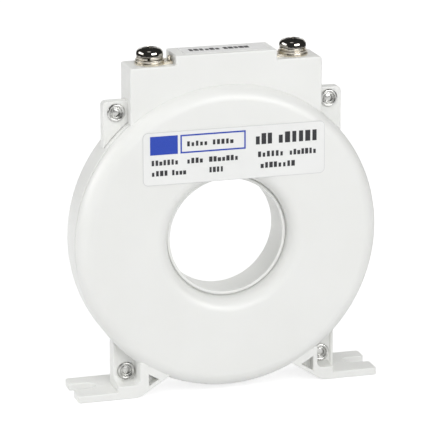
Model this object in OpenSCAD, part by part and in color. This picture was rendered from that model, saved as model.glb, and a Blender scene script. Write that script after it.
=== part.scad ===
// Ring current transformer in a moulded two-part case.
// X runs across the ring, +Y points from the ring's face to its back, +Z is up.
// The origin is on the mounting surface, under the middle of the case.

/* [Window and ring] */
// Diameter of the window that the primary conductor passes through
window_d = 35; // [30:1:38]
// Outside diameter of the ring
ring_d = 93; // [90:1:100]
// Depth of the ring from its face to its back
ring_depth = 19; // [18.5:0.5:23]
// Height of the ring's lowest point above the mounting surface
ring_lift = 1; // [1:0.25:4]
// Wall thickness of the case
wall = 2; // [1.8:0.1:2.1]
// Radius of the rounding at the ring's outer edges
rim_round = 4.6; // [3.6:0.2:5]
// Radius of the rounded shoulder round the hole in the front shell
mouth_round = 4.2; // [3.6:0.2:4.6]
// Radius of the rounded mouth at the back of the window
back_mouth_round = 3.4; // [2.6:0.2:4]

/* [Window lip and case joint] */
// How far the lip of the window tube sits behind the ring's face
lip_recess = 4.8; // [4.4:0.1:5.2]
// Wall thickness of the lip
lip_wall = 0.9; // [0.7:0.1:1.1]
// Gap between the lip and the front shell
lip_gap = 0.4; // [0.2:0.05:0.5]
// Distance from the ring's face to the joint between the shells
joint_from_face = 5; // [4.8:0.1:5.6]
// Width of the shadow groove at the joint
joint_groove_w = 0.6; // [0.4:0.1:0.8]
// Depth of the shadow groove at the joint
joint_groove_d = 0.8; // [0.5:0.1:0.9]

/* [Terminal block] */
// Width of the terminal block
block_w = 58.8; // [57.6:0.4:62]
// Depth of the terminal block
block_depth = 11.6; // [11.4:0.2:13]
// Height of the two screw platforms above the top of the ring
platform_lift = 6.5; // [6:0.5:12]
// Width of each screw platform
platform_w = 13.9; // [12.6:0.1:15]
// Height of the raised middle above the platforms
raised_step = 3; // [1:0.5:6]
// How far inwards from the middle of its platform each screw stands
screw_shift = 0.45; // [0.2:0.05:0.7]

/* [Lugs and rivets] */
// Thickness of each pair of lugs
lug_t = 3.5; // [3:0.25:5]
// Diameter of the rolled rivet heads
rivet_head_d = 5.5; // [5:0.1:5.6]
// Diameter of the rivet shank
rivet_d = 3.4; // [3:0.1:3.6]
// Bore of the rivet
rivet_bore_d = 2.4; // [2:0.1:2.6]
// Distance from the ring's rim to the middle of the top rivets
top_rivet_gap = 4.7; // [4.2:0.1:5.5]
// Gap between the top rivet heads and the side of the block
rivet_block_gap = 0.65; // [0.3:0.05:1.5]
// Distance from the ring's rim to the middle of the bottom rivets
bottom_rivet_gap = 4.35; // [4:0.05:5]
// Gap between the bottom rivet heads and the base under them
rivet_base_gap = 0.15; // [0.1:0.05:0.6]
// Gap between the bottom rivet heads and the bracket ribs
rivet_rib_gap = 0.1; // [0.05:0.05:0.6]
// Width of the lugs outside the rivet's middle
lug_margin = 4; // [3.6:0.1:5]
// Height of the top lugs above the rivet's middle
lug_top_margin = 3.4; // [3:0.1:4.5]

/* [Feet] */
// How far each foot reaches out beside its lug
foot_reach = 12.25; // [10:0.25:16]
// Thickness of the feet
foot_t = 2.3; // [2:0.1:3]
// How far the fronts of the feet stay behind the ring's face
foot_setback = 1.5; // [1:0.25:2]
// How far the backs of the feet stand out behind the ring
foot_overhang = 0.4; // [0:0.1:1]
// Width of the fixing slots
slot_w = 5.2; // [4.4:0.2:6]
// Depth of the fixing slots in from the ends of the feet
slot_l = 7.6; // [6:0.2:8.4]
// Distance of the slots behind the middle of the case
slot_back = 1.6; // [1:0.2:2.2]
// Rounding at the corners of the feet
prong_round = 0.9; // [0.6:0.1:2]
// Height of the base in front of the lower lugs
base_h = 4.1; // [3.6:0.1:5]
// How far the right base stops short of the outer side of its lug
right_base_inset = 1.85; // [0.5:0.05:2.2]
// Thickness of the left bracket's rib
left_rib_t = 2.7; // [1.8:0.1:3]
// Thickness of the right bracket's rib
right_rib_t = 1.4; // [1.2:0.1:3]
// Thickness of the slanted braces between feet and ring
brace_t = 1.2; // [0.8:0.1:1.6]
// Angle of the slanted braces to the mounting surface
brace_angle = 33; // [30:1:36]
// Rounding where the slanted braces meet the feet
toe_round = 5; // [2:0.5:6]
// Depth of the three-sided pockets between rib, brace and ring
bracket_pocket = 3; // [2:0.25:4]

/* [Terminals] */
// Diameter of the terminal screws
screw_d = 4; // [3.5:0.5:4]
// Length of the terminal screws below the head
screw_l = 10; // [9:0.5:12]
// Diameter of the screw heads
head_d = 8; // [7:0.2:8.2]
// Height of the screw heads
head_h = 2.7; // [2.4:0.1:3.4]
// Diameter of the plain washers
washer_d = 8.6; // [8.2:0.1:9]
// Thickness of the plain washers
washer_t = 0.7; // [0.5:0.1:1]
// Outside diameter of the spring washers
spring_washer_d = 7.8; // [7:0.1:8]
// Thickness of the spring washers
spring_washer_t = 0.9; // [0.7:0.1:1.2]
// Thickness of the terminal plates
plate_t = 0.8; // [0.6:0.1:1.2]
// Diameter of the round ends of the terminal plates
plate_d = 9; // [8.4:0.1:9.4]
// Width of the necks of the terminal plates
neck_w = 5.2; // [4:0.2:6]
// Width across the square nuts
nut_w = 7; // [6.4:0.2:7.2]
// Thickness of the square nuts
nut_t = 3.2; // [2.6:0.2:3.6]

/* [Labels] */
// Width of the rating label
label_w = 56; // [50:1:57]
// Height of the rating label
label_h = 16; // [14:0.5:16]
// Height of the middle of the rating label above the ring's axis
label_rise = 26.4; // [26.2:0.2:28]
// Sideways offset of the rating label
label_shift = 1.1; // [-1:0.1:1.2]
// Distance from the ends of the label on the block to the sides of the block's raised middle
block_label_margin = 2.5; // [2.2:0.1:5]
// Depth of the label on top of the block
block_label_d = 8.6; // [7:0.2:9]
// Thickness of the labels
label_t = 0.15; // [0.1:0.05:0.3]
// Thickness of the printed fields
ink_t = 0.05; // [0.03:0.01:0.08]

/* [Core and winding] */
// Clearance between the taped core and the case
core_clearance = 0.3; // [0.2:0.05:0.5]
// Thickness of the outer tape
tape_t = 0.5; // [0.4:0.1:0.8]
// Thickness of the wound wire layer
winding_t = 1.6; // [1.2:0.1:2]
// Thickness of the tape round the core
core_wrap_t = 0.6; // [0.4:0.1:1]
// Clearance between the layers of the core
layer_gap = 0.1; // [0.05:0.05:0.15]
// Number of grooves that show between groups of turns
turn_groups = 36; // [24:2:48]
// Diameter of the insulated leads
lead_d = 1.6; // [1.2:0.1:1.8]

/* [Hidden] */
$fn = 64;

case_white = [0.93, 0.93, 0.91];
nickel = [0.66, 0.64, 0.6];
brass_plate = [0.78, 0.7, 0.5];
rivet_grey = [0.5, 0.5, 0.49];
ink_blue = [0.05, 0.2, 0.7];
ink_dark = [0.12, 0.12, 0.14];
eps = 0.01;
fit_gap = 0.15;             // gap between parts of the two shells that nest

// heights along the window axis, measured forwards from the parting plane
face_f = ring_depth / 2;
lip_f = face_f - lip_recess;
joint_f = face_f - joint_from_face;
groove_f = joint_f - joint_groove_w;
foot_f = face_f - foot_setback;
foot_back_f = face_f + foot_overhang;
block_f = block_depth / 2;
lug_f = lug_t / 2;

// radii about the window axis
window_r = window_d / 2;
ring_r = ring_d / 2;
axis_h = ring_r + ring_lift;
lip_r = window_r + lip_wall;
hole_r = lip_r + lip_gap;
tube_r = window_r + wall;
seat_f = lip_f - 0.8;       // shoulder of the tube that carries the front shell
cavity_r = ring_r - wall;
cavity_f = face_f - wall;
merge_r = cavity_r + 0.5;   // how far in the lugs and brackets run into the ring's wall
rib_ring_r = cavity_r - fit_gap;
rib_ring_t = 1.3;
rib_ring_d = 2;             // how deep the locating ring reaches into the back shell

platform_rise = ring_r + platform_lift;
platform_h = axis_h + platform_rise;
raised_h = platform_h + raised_step;
block_x = block_w / 2;
raised_x = block_x - platform_w;
raised_w = 2 * raised_x;
block_wall = wall;
platform_t = 2.2;
block_cavity_f = block_f - block_wall;
block_round = 0.8;
screw_x = block_x - platform_w / 2 - screw_shift;

// places (x, height above axis) of the rivets: the top pair stands beside the block,
// the bottom pair just above the bases, and each keeps its distance from the ring's rim
rivet_head_r = rivet_head_d / 2;
top_rivet_x = block_x + rivet_block_gap + rivet_head_r;
top_rivet_y = sqrt(pow(ring_r + top_rivet_gap, 2) - pow(top_rivet_x, 2));
bottom_rivet_y = base_h + rivet_base_gap + rivet_head_r - axis_h;
bottom_rivet_x = sqrt(pow(ring_r + bottom_rivet_gap, 2) - pow(bottom_rivet_y, 2));
rivet_places = [
    [-top_rivet_x, top_rivet_y], [top_rivet_x, top_rivet_y],
    [-bottom_rivet_x, bottom_rivet_y], [bottom_rivet_x, bottom_rivet_y]
];
rivet_clear = 0.05;
rivet_curl = 0.75;          // section radius of the rolled head

top_lug_x = top_rivet_x + lug_margin;
top_lug_y = top_rivet_y + lug_top_margin;
lug_round = 1.5;
bottom_lug_x = bottom_rivet_x + lug_margin;
rib_out = bottom_rivet_x - rivet_head_r - rivet_rib_gap;
rib_top = -sqrt(pow(ring_r, 2) - pow(rib_out, 2)) + 0.6;
pocket_floor_t = 1;         // floor that closes the three-sided pockets
pocket_lap = 0.4;
rim_w = 0.9;                // raised edge of the lower lugs
rim_rise = 0.5;
pocket_round = 1.7;
web_t = 1.1;                // web between a bracket's opening and the ring
brace_end_x = 0.38 * ring_r; // where the braces end, inside the ring
toe_run = 2.9;              // from the rib's inner side out to the toe of the brace
foot_x = bottom_lug_x + foot_reach;
mouth_corner = 0.9;         // rounding at the mouths of the slots

// labels: the print is laid out on a grid of steps across and up each label
print_grid = [56, 16];
block_print_grid = [26, 8.6];
bars = 7;                   // the row of bars on the block's label, in steps of its grid
bar_start = 10.3;
bar_pitch = 2.75;
bar_l = 2.2;
short_bar_l = 1.4;
bar_deep = 2.4;
block_label_w = raised_w - 2 * block_label_margin;
block_label_shift = 0.6;
print_x = label_w / print_grid[0];
print_y = label_h / print_grid[1];
block_print_x = block_label_w / block_print_grid[0];
block_print_y = block_label_d / block_print_grid[1];

// stack on each platform
plate_top = platform_h + plate_t;
washer_top = plate_top + washer_t;
head_seat = washer_top + spring_washer_t;
nut_top = platform_h - platform_t;
shelf_t = 1.4;
shelf_h = nut_top - nut_t;
nut_slack = 0.15;
cheek_t = 1.2;
plate_in = raised_x + 0.2;
tail_w = 3;
tail_l = 7.5;
tail_slot_gap = 0.15;
stub_h = 1.3;               // stub above the plate's inner end
stub_w = 1.2;
screw_hole_r = screw_d / 2 + 0.3;
thread_clear = 0.05;        // radial clearance of screw and nut
thread_r = screw_d / 2 - thread_clear;
head_round = 2.1;           // rounding at the top edge of the screw heads
crown_r = 9;                // radius of the heads' domed top
recess_w = 1;
recess_l = 4.6;
recess_deep = 1.6;

// core build, from the case inwards: each layer is a rounded section
core_in = hole_r + wall + core_clearance;
core_out = rib_ring_r - rib_ring_t - core_clearance;
core_f = cavity_f - core_clearance;
tape_round = 2.1;
lead_x = 9;
lead_rise = 5;              // height of the lead's run above the taped core
lead_lap = 2.5;             // length of lead soldered along the tail
solder_gap = 0.05;
lead_r = lead_d / 2;

// local x, y, z become X, Z - axis_h, -Y
module facing() translate([0, 0, axis_h]) rotate([90, 0, 0]) children();

// prism of a flat outline, from one height along the window axis to another
module slab(from, to) facing() translate([0, 0, from]) linear_extrude(height = to - from) children();

module both_sides() {
    children();
    mirror([1, 0, 0]) children();
}

// waste outside a quarter circle whose centre is at the origin
module corner_waste(r) difference() {
    square(r + 1);
    circle(r);
}

module rounded_rect(w, h, r) {
    square([w - 2 * r, h], center = true);
    square([w, h - 2 * r], center = true);
    for (x = [-1, 1], y = [-1, 1])
        translate([x * (w / 2 - r), y * (h / 2 - r)]) circle(r);
}

// ---------- case ----------

// section of the front cap: radius across, distance forwards up
module front_cap_section() {
    mouth_r = hole_r + mouth_round;
    rim_r = ring_r - rim_round;
    difference() {
        translate([hole_r, seat_f]) square([ring_r - hole_r, face_f - seat_f]);
        translate([rim_r, face_f - rim_round]) corner_waste(rim_round);
        translate([mouth_r, face_f - mouth_round]) mirror([1, 0]) corner_waste(mouth_round);
        // hollow inside
        difference() {
            translate([hole_r + wall, seat_f - 1]) square([cavity_r - hole_r - wall, cavity_f - seat_f + 1]);
            translate([rim_r, face_f - rim_round]) corner_waste(rim_round - wall);
            translate([mouth_r, face_f - mouth_round]) mirror([1, 0]) corner_waste(mouth_round - wall);
        }
        // the rim ends at the joint
        translate([cavity_r - 1, seat_f - 1]) square([ring_r - cavity_r + 2, joint_f - seat_f + 1]);
    }
    // locating ring that enters the back shell
    translate([rib_ring_r - rib_ring_t, joint_f - rib_ring_d])
        square([rib_ring_t, cavity_f - joint_f + rib_ring_d - 1]);
    translate([rib_ring_r - rib_ring_t, joint_f]) square([cavity_r - rib_ring_r + rib_ring_t + 0.2, 1.2]);
}

// section of the back bowl with the window tube
module back_bowl_section() {
    rim_r = ring_r - rim_round;
    mouth_r = window_r + back_mouth_round;
    lip_inner_r = ring_r - joint_groove_d;
    difference() {
        translate([window_r, -face_f]) square([ring_r - window_r, face_f + groove_f]);
        translate([rim_r, rim_round - face_f]) mirror([0, 1]) corner_waste(rim_round);
        translate([mouth_r, back_mouth_round - face_f]) mirror([1, 0]) mirror([0, 1])
            corner_waste(back_mouth_round);
        difference() {
            translate([tube_r, -cavity_f]) square([cavity_r - tube_r, cavity_f + groove_f + 1]);
            translate([rim_r, rim_round - face_f]) mirror([0, 1]) corner_waste(rim_round - wall);
        }
    }
    // rebate lip, flush seat for the front cap
    translate([cavity_r, groove_f - 1]) square([lip_inner_r - cavity_r, joint_groove_w + 1]);
    // tube up to the seat, then the thin lip that shows in the front shell's hole
    translate([window_r, 0]) square([tube_r - window_r, seat_f]);
    translate([window_r, seat_f - 1]) square([lip_wall, lip_f - seat_f + 1]);
}

// outline of the terminal block, seen from the front
module block_outline() {
    foot_y = sqrt(pow(ring_r, 2) - pow(block_x, 2)) - 6;
    top_y = platform_rise;
    translate([-block_x, foot_y]) square([block_w, top_y - foot_y - block_round]);
    translate([-block_x + block_round, top_y - 2]) square([block_w - 2 * block_round, 2]);
    for (s = [-1, 1]) translate([s * (block_x - block_round), top_y - block_round]) circle(block_round);
    translate([-raised_x, top_y - 1]) square([raised_w, raised_step + 1]);
}

// hollow inside the block, open to the ring's cavity below
module block_hollow() {
    in_x = block_x - block_wall;
    translate([-in_x, cavity_r - 3]) square([2 * in_x, platform_rise - platform_t - cavity_r + 3]);
    translate([-raised_x + block_wall, platform_rise - platform_t - 1])
        square([raised_w - 2 * block_wall, raised_step + 1]);
}

// cheeks and shelf that hold one nut
module nut_pocket() {
    gap = nut_w + 2 * nut_slack;
    low = shelf_h - axis_h - shelf_t;
    high = nut_top - axis_h;
    for (x = [screw_x - gap / 2 - cheek_t, screw_x + gap / 2])
        translate([x, low]) square([cheek_t, high - low + eps]);
    translate([screw_x - gap / 2 - 0.5, low]) square([gap + 1, shelf_t]);
}

module top_lug_outline() {
    low = sqrt(pow(ring_r, 2) - pow(top_lug_x, 2)) - 3;
    in = block_x - 1;
    difference() {
        union() {
            translate([in, low]) square([top_lug_x - in - lug_round, top_lug_y - low]);
            translate([in, low]) square([top_lug_x - in, top_lug_y - low - lug_round]);
            translate([top_lug_x - lug_round, top_lug_y - lug_round]) circle(lug_round);
        }
        circle(merge_r);
    }
}

module bottom_lug_outline() {
    high = -sqrt(pow(ring_r, 2) - pow(bottom_lug_x, 2)) + 2;
    difference() {
        translate([rib_out - 1, -axis_h]) square([bottom_lug_x - rib_out + 1, high + axis_h]);
        circle(merge_r);
    }
}

// raised edge down the outside of the lower lug
module lug_rim_outline() {
    high = -sqrt(pow(ring_r, 2) - pow(bottom_lug_x - rim_w, 2)) + 0.3;
    translate([bottom_lug_x - rim_w, -axis_h + foot_t - 0.5])
        square([rim_w, high + axis_h - foot_t + 0.5]);
}

// rib, base and brace that carry the foot, seen from the front
module bracket_outline(rib_t, base, inset) {
    in = rib_out - rib_t;
    toe = [in + toe_run, -axis_h];
    run = toe[0] - brace_end_x;
    brace_end = toe + [-run, run * tan(brace_angle)];
    lap = in + 0.5;                     // how far brace and web run into the rib
    difference() {
        union() {
            translate([in, -axis_h]) square([bottom_lug_x - inset - in, base]);
            translate([in, -axis_h]) square([bottom_lug_x - in, foot_t]);
            translate([in, -axis_h]) square([rib_t, rib_top + axis_h]);
            // fillet between rib and base
            translate([rib_out, -axis_h + base]) difference() {
                square(pocket_round);
                translate([pocket_round, pocket_round]) circle(pocket_round);
            }
            // slanted brace and the web that follows the ring, with the opening between them
            difference() {
                polygon([[lap, toe[1]], [lap, rib_top], [brace_end[0], rib_top], brace_end - [0, 1]]);
                opening_outline(in, 0);
            }
        }
        translate(toe) below_brace(2 * run);
        circle(merge_r);
    }
}

// opening between rib, brace and web, grown by an overlap into them
module opening_outline(in, overlap) {
    slope = tan(brace_angle);
    rise = brace_t / cos(brace_angle);
    corner = [in + overlap, -axis_h + (toe_run - overlap) * slope + rise - overlap];
    run = corner[0] - brace_end_x;
    difference() {
        polygon([corner + [-run, run * slope], corner, [corner[0], rib_top], [brace_end_x, rib_top]]);
        circle(ring_r + web_t - overlap);
    }
}

// everything below brace and foot, from the toe's corner, with the rounded turn between them
module below_brace(run) {
    flats = 3;
    reach = toe_round * tan(brace_angle / 2);
    turn = [for (i = [0:flats]) brace_angle * i / flats];
    polygon(concat(
        [[-run, -1], [reach, -1]],
        [for (a = turn) [reach - toe_round * sin(a), toe_round - toe_round * cos(a)]],
        [[-run, run * tan(brace_angle)]]
    ));
}

// foot plate, seen from above, in X and Y
module foot_outline() {
    in = bottom_lug_x - 1;
    near = -foot_f;
    far = foot_back_f;
    difference() {
        union() {
            translate([in, near]) square([foot_x - in - prong_round, far - near]);
            translate([in, near + prong_round]) square([foot_x - in, far - near - 2 * prong_round]);
            for (y = [near + prong_round, far - prong_round])
                translate([foot_x - prong_round, y]) circle(prong_round);
        }
        slot_outline();
    }
}

// open slot with a round inner end, running out of the foot
module slot_outline() {
    end = foot_x - slot_l + slot_w / 2;
    translate([end, slot_back]) circle(slot_w / 2);
    translate([end, slot_back - slot_w / 2]) square([slot_l, slot_w]);
    // rounded corners at the mouth
    for (s = [-1, 1]) translate([foot_x, slot_back + s * slot_w / 2]) difference() {
        translate([-mouth_corner, s > 0 ? 0 : -mouth_corner]) square(mouth_corner);
        translate([-mouth_corner, s * mouth_corner]) circle(mouth_corner);
    }
}

module foot_plate() linear_extrude(height = foot_t) foot_outline();

module rivet_holes() facing() for (p = rivet_places) translate([p[0], p[1], -lug_t])
    cylinder(r = rivet_d / 2 + rivet_clear, h = 2 * lug_t);

module screw_passages() for (x = [-screw_x, screw_x]) translate([x, 0, shelf_h - shelf_t - 1])
    cylinder(r = screw_hole_r, h = platform_h - shelf_h + shelf_t + 2);

// slots in the platforms for the tails of the terminal plates
module tail_slots() both_sides()
    translate([plate_in - tail_slot_gap, -tail_w / 2 - tail_slot_gap, nut_top - 1])
        cube([plate_t + 2 * tail_slot_gap, tail_w + 2 * tail_slot_gap, platform_t + 2]);

module ring_turned() facing() rotate_extrude($fn = 128) children();

// the part of one shell outside the ring: side is 1 in front of the parting plane, -1 behind it
module shell_surround(side, ring_clear) {
    function span(front, back) = side > 0 ? [0, front] : [-back, 0];
    block = span(block_f, block_f);
    lug = span(lug_f, lug_f);
    rim = span(lug_f + rim_rise, lug_f + rim_rise);
    bracket = span(foot_f, foot_back_f);
    base = side > 0 ? base_h : foot_t;
    difference() {
        union() {
            slab(block[0], block[1]) block_outline();
            slab(lug[0], lug[1]) {
                both_sides() top_lug_outline();
                both_sides() bottom_lug_outline();
            }
            slab(rim[0], rim[1]) both_sides() lug_rim_outline();
            slab(bracket[0], bracket[1]) {
                mirror([1, 0]) bracket_outline(left_rib_t, base, 0);
                bracket_outline(right_rib_t, base, side > 0 ? right_base_inset : 0);
            }
            if (side > 0) slab(foot_f - bracket_pocket - pocket_floor_t, foot_f - bracket_pocket) {
                mirror([1, 0]) opening_outline(rib_out - left_rib_t, pocket_lap);
                opening_outline(rib_out - right_rib_t, pocket_lap);
            }
            intersection() {
                both_sides() foot_plate();
                translate([-2 * foot_x, side > 0 ? -foot_x : 0, -1]) cube([4 * foot_x, foot_x, foot_t + 2]);
            }
        }
        difference() {
            slab(-block_cavity_f, block_cavity_f) block_hollow();
            slab(-block_cavity_f - 1, block_cavity_f + 1) both_sides() nut_pocket();
        }
        screw_passages();
        tail_slots();
        rivet_holes();
        ring_clear_cut(ring_clear);
    }
}

// space kept free for the ring's own body
module ring_clear_cut(clear) {
    if (clear > 0) slab(-foot_back_f - 1, joint_f) circle(ring_r + clear, $fn = 128);
}

module front_shell() color(case_white) {
    difference() {
        union() {
            ring_turned() front_cap_section();
            difference() {
                shell_surround(1, fit_gap);
                slab(joint_f - eps, face_f + 1) circle(merge_r, $fn = 128);
            }
        }
        // the block's hollow opens through the locating ring
        slab(-block_cavity_f, block_cavity_f) block_mouth();
    }
}

// opening between the ring's cavity and the block's hollow
module block_mouth() translate([-block_x + block_wall + 4, core_out - 1])
    square([block_w - 2 * block_wall - 8, cavity_r - core_out + 5]);

module back_shell() color(case_white) {
    difference() {
        union() {
            ring_turned() back_bowl_section();
            difference() {
                shell_surround(-1, 0);
                slab(-foot_back_f - 1, face_f) circle(merge_r, $fn = 128);
            }
        }
        slab(-block_cavity_f, block_cavity_f) block_mouth();
    }
}

// ---------- rivets ----------

// section of a tubular rivet with a rolled head at each end
module rivet_section() {
    curl_r = rivet_head_r - rivet_curl;
    translate([rivet_bore_d / 2, -lug_f - 0.3]) square([(rivet_d - rivet_bore_d) / 2, lug_t + 0.6]);
    for (s = [0, 1]) mirror([0, s]) difference() {
        translate([curl_r, lug_f + 0.1]) circle(rivet_curl);
        translate([0, lug_f - 2]) square([curl_r + 2, 2]);
        translate([0, lug_f - 2]) square([rivet_bore_d / 2, 6]);
    }
}

module rivet(place) color(rivet_grey) facing() translate([place[0], place[1], 0])
    rotate_extrude() rivet_section();

// ---------- terminals ----------

// round end under the screw, neck towards the raised block, tail down through the platform
module terminal_plate() color(brass_plate) difference() {
    union() {
        translate([0, 0, platform_h]) linear_extrude(height = plate_t) {
            translate([screw_x, 0]) circle(plate_d / 2);
            translate([plate_in, -neck_w / 2]) square([screw_x - plate_in, neck_w]);
        }
        translate([plate_in, -tail_w / 2, platform_h - tail_l])
            cube([plate_t, tail_w, tail_l + plate_t / 2]);
        translate([plate_in, -stub_w / 2, platform_h]) cube([plate_t, stub_w, plate_t + stub_h]);
    }
    translate([screw_x, 0, platform_h - 1]) cylinder(r = screw_hole_r, h = plate_t + 2);
}

module terminal_nut() color(nickel) difference() {
    translate([screw_x - nut_w / 2, -nut_w / 2, shelf_h]) cube([nut_w, nut_w, nut_t]);
    translate([screw_x, 0, shelf_h - 1]) cylinder(r = screw_d / 2, h = nut_t + 2);
}

module plain_washer() color(nickel) translate([screw_x, 0, plate_top]) difference() {
    cylinder(r = washer_d / 2, h = washer_t);
    translate([0, 0, -1]) cylinder(r = screw_d / 2 + 0.15, h = washer_t + 2);
}

module spring_washer() color(nickel) translate([screw_x, 0, washer_top]) difference() {
    cylinder(r = spring_washer_d / 2, h = spring_washer_t);
    translate([0, 0, -1]) cylinder(r = screw_d / 2 + 0.1, h = spring_washer_t + 2);
    // the split, cut on the slant
    rotate([0, 0, -60]) translate([screw_d / 2, 0, spring_washer_t / 2]) rotate([20, 0, 0])
        cube([screw_d + 2, 0.5, 3 * spring_washer_t], center = true);
}

// pan head with a rounded edge, a slightly domed top and a cross recess
module terminal_screw() color(nickel) translate([screw_x, 0, head_seat]) {
    head_r = head_d / 2;
    difference() {
        union() {
            rotate_extrude() intersection() {
                union() {
                    square([head_r - head_round, head_h]);
                    square([head_r, head_h - head_round]);
                    translate([head_r - head_round, head_h - head_round]) circle(head_round);
                }
                translate([0, head_h - crown_r]) circle(crown_r, $fn = 128);
                square([head_r, head_h]);
            }
            translate([0, 0, -screw_l]) cylinder(r = thread_r, h = screw_l + 0.5);
        }
        for (a = [0, 90]) rotate([0, 0, a])
            translate([-recess_l / 2, -recess_w / 2, head_h - recess_deep])
                cube([recess_l, recess_w, recess_deep + 1]);
        translate([0, 0, head_h - recess_deep - 0.2]) cylinder(r1 = 0.7, r2 = 1.3, h = recess_deep + 0.3);
    }
}

// ---------- labels ----------

module rating_label() color("white") slab(face_f, face_f + label_t)
    translate([label_shift, label_rise]) rounded_rect(label_w, label_h, 1.5);

// prism of print on the rating label, placed from the label's lower left corner
module printed(x, y) slab(face_f + label_t, face_f + label_t + ink_t)
    translate([label_shift - label_w / 2 + x, label_rise - label_h / 2 + y]) children();

// bars of one printed row: each entry is [start, length], in steps of the label's print grid
module print_row(y, h, bars) printed(0, y * print_y) for (b = bars)
    translate([b[0] * print_x, 0]) square([b[1] * print_x, h * print_y]);

// solid blue field with an outlined field beside it
module label_blue_print() color(ink_blue) {
    low = 9.2 * print_y;
    field_h = 5.6 * print_y;
    open_w = 20 * print_x;
    line = 0.45 * print_y;
    printed(2.2 * print_x, low) square([8.4 * print_x, field_h]);
    printed(11.4 * print_x, low) difference() {
        square([open_w, field_h]);
        translate([line, line]) square([open_w - 2 * line, field_h - 2 * line]);
    }
}

// rows of dark bars in the places of the printed lines
module label_dark_print() color(ink_dark) {
    print_row(11.4, 1.2, [[13.2, 6.4], [21, 6.6]]);
    print_row(6.1, 1.4, [[2.4, 8.4], [13.2, 5.2], [20, 9.2]]);
    print_row(2.9, 1.4, [[2.4, 5.2], [8.6, 4.6], [20, 4.6]]);
    print_row(10.4, 2.9, [[34.2, 5.6], [41.2, 12.6]]);
    print_row(6.4, 1.5, [[35, 8.2], [44.8, 8.6]]);
    print_row(3, 1.5, [[35.8, 11]]);
}

module block_label() color([0.8, 0.8, 0.79]) translate([block_label_shift, 0, raised_h])
    linear_extrude(height = label_t) rounded_rect(block_label_w, block_label_d, 0.5);

// a row of short dark bars, every third one shorter, in steps of the block label's grid
module block_label_print() color(ink_dark)
    translate([-bar_start * block_print_x, -bar_deep / 2 * block_print_y, raised_h + label_t])
        linear_extrude(height = ink_t) for (i = [0:bars - 1])
            translate([i * bar_pitch * block_print_x, 0])
                square([(i % 3 == 2 ? short_bar_l : bar_l) * block_print_x, bar_deep * block_print_y]);

// ---------- core and winding ----------

// ring section whose surface lies a given depth inside the taped core's surface
module core_section(depth) {
    r = max(tape_round - depth, 0.6);
    w = core_out - core_in - 2 * depth;
    h = 2 * (core_f - depth);
    translate([(core_in + core_out) / 2, 0]) rounded_rect(w, h, r);
}

module core_layer(depth, t) ring_turned() difference() {
    core_section(depth);
    core_section(depth + t);
}

winding_depth = tape_t + layer_gap;
wrap_depth = winding_depth + winding_t + layer_gap;
core_depth = wrap_depth + core_wrap_t + layer_gap;

module outer_tape() color([0.85, 0.8, 0.55]) core_layer(0, tape_t);

module secondary_winding() color([0.72, 0.4, 0.2]) difference() {
    core_layer(winding_depth, winding_t);
    for (i = [0:turn_groups - 1]) facing() rotate([0, 0, (i + 0.5) * 360 / turn_groups]) turn_groove();
}

// shallow cut round one place of the winding, outside and on both faces
module turn_groove() {
    deep = 0.5;
    in = core_in + winding_depth;
    out = core_out - winding_depth;
    h = core_f - winding_depth;
    translate([0, -0.15, 0]) difference() {
        translate([in - 1, 0, -h - 1]) cube([out - in + 2, 0.3, 2 * h + 2]);
        translate([in - 2, -1, -h + deep]) cube([out - in + 2 - deep, 2, 2 * h - 2 * deep]);
    }
}

module core_wrap() color([0.9, 0.88, 0.8]) core_layer(wrap_depth, core_wrap_t);

module strip_core() color([0.45, 0.45, 0.47]) ring_turned() core_section(core_depth);

// lead from the top of the winding to the tail of the terminal plate
module lead() color([0.75, 0.12, 0.1]) {
    start_h = axis_h + sqrt(pow(core_out, 2) - pow(lead_x, 2)) + core_clearance;
    run_h = axis_h + core_out + lead_rise;
    end_h = platform_h - tail_l + lead_lap;
    end_x = plate_in - lead_r - solder_gap;
    translate([lead_x, 0, start_h]) cylinder(r = lead_r, h = run_h - start_h);
    translate([lead_x, 0, run_h]) sphere(r = lead_r);
    translate([lead_x, 0, run_h]) rotate([0, 90, 0]) cylinder(r = lead_r, h = end_x - lead_x);
    translate([end_x, 0, run_h]) sphere(r = lead_r);
    translate([end_x, 0, run_h]) cylinder(r = lead_r, h = end_h - run_h);
}

module at_left() mirror([1, 0, 0]) children();

front_shell();
back_shell();
rivet(rivet_places[0]);  // rivet_top_left
rivet(rivet_places[1]);  // rivet_top_right
rivet(rivet_places[2]);  // rivet_bottom_left
rivet(rivet_places[3]);  // rivet_bottom_right
at_left() terminal_plate();  // terminal_plate_left
terminal_plate();  // terminal_plate_right
at_left() terminal_nut();  // terminal_nut_left
terminal_nut();  // terminal_nut_right
at_left() plain_washer();  // plain_washer_left
plain_washer();  // plain_washer_right
at_left() spring_washer();  // spring_washer_left
spring_washer();  // spring_washer_right
at_left() terminal_screw();  // terminal_screw_left
terminal_screw();  // terminal_screw_right
rating_label();
label_blue_print();
label_dark_print();
block_label();
block_label_print();
strip_core();
core_wrap();
secondary_winding();
outer_tape();
at_left() lead();  // lead_left
lead();  // lead_right
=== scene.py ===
# Dresses the ring current transformer around its CAD frame.
import random
from contextlib import contextmanager
from math import atan2, cos, degrees, pi, radians, sin, sqrt, tan

import bmesh
import bpy
from mathutils import Matrix, Vector


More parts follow.
